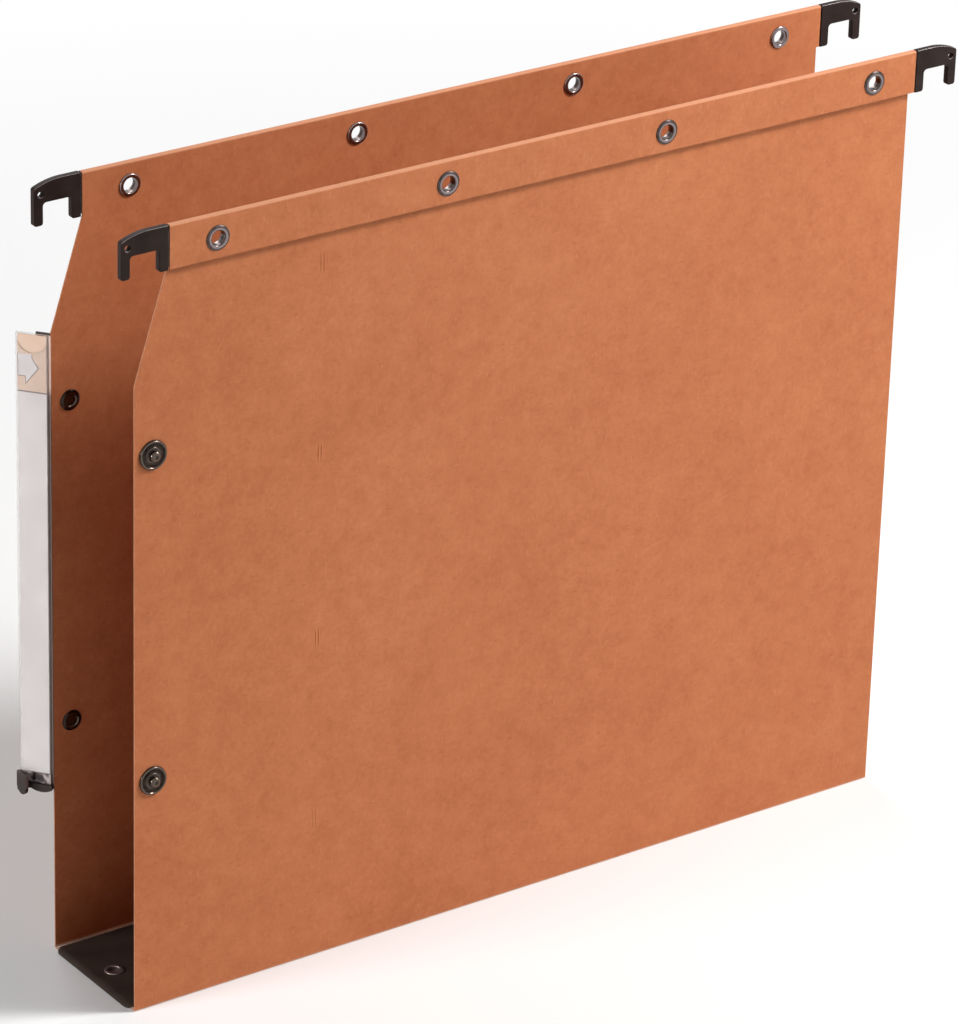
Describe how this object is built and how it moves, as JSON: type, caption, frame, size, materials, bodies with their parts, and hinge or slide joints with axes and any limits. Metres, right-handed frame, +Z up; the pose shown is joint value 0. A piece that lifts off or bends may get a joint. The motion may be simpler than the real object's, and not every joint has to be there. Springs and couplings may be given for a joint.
{
  "type": "hanging file folder",
  "caption": "Orange card suspension file with steel-stiffened hems, plastic hooks for side rails, snap studs, a stiffened base and a slanted end label in a clear sleeve.",
  "frame": {"origin": "middle of the underside of the base, on the surface that the folder stands on", "axes": "+X along the hems from the label end to the other end, +Z up, the front panel on the -Y side"},
  "size_m": [0.3514, 0.066, 0.29],
  "materials": {
    "card": "matte calendered kraft card, orange through and through",
    "black_board": "satin",
    "hook_plastic": "moulded satin",
    "rail_steel": "rolled, zinc plated",
    "nickel": "nickel plated",
    "gunmetal": "blackened, half gloss",
    "spring_steel": "drawn wire",
    "clear_film": "clear, glossy",
    "label_paper": "matte"
  },
  "bodies": {
    "base": {"base_card": "card", "base_plate": "black_board", "base_rivets": "gunmetal"},
    "front_side": {"front_panel": "card", "front_rail": "rail_steel", "front_left_hook": "hook_plastic", "front_right_hook": "hook_plastic", "front_eyelets": "nickel", "front_snap_studs": "gunmetal", "front_snap_posts": "gunmetal"},
    "back_side": {"back_panel": "card", "back_rail": "rail_steel", "back_left_hook": "hook_plastic", "back_right_hook": "hook_plastic", "back_eyelets": "nickel", "back_snap_posts": "gunmetal", "back_snap_sockets": "gunmetal", "back_socket_springs": "spring_steel", "label_carrier": "hook_plastic", "label_sleeve": "clear_film"},
    "label": {"label_strip": "label_paper"}
  },
  "joints": [
    {"name": "front_fold", "type": "hinge", "parent": "base", "child": "front_side", "pos_m": [0, -0.02625, 0.00025], "axis": [1, 0, 0], "range_deg": [-4.5, 80]},
    {"name": "back_fold", "type": "hinge", "parent": "base", "child": "back_side", "pos_m": [0, 0.02625, 0.00025], "axis": [-1, 0, 0], "range_deg": [-4.5, 78]},
    {"name": "label_slide", "type": "slide", "parent": "back_side", "child": "label", "axis": [0, 0, 1], "range_m": [-0.0035, 0.035]}
  ]
}
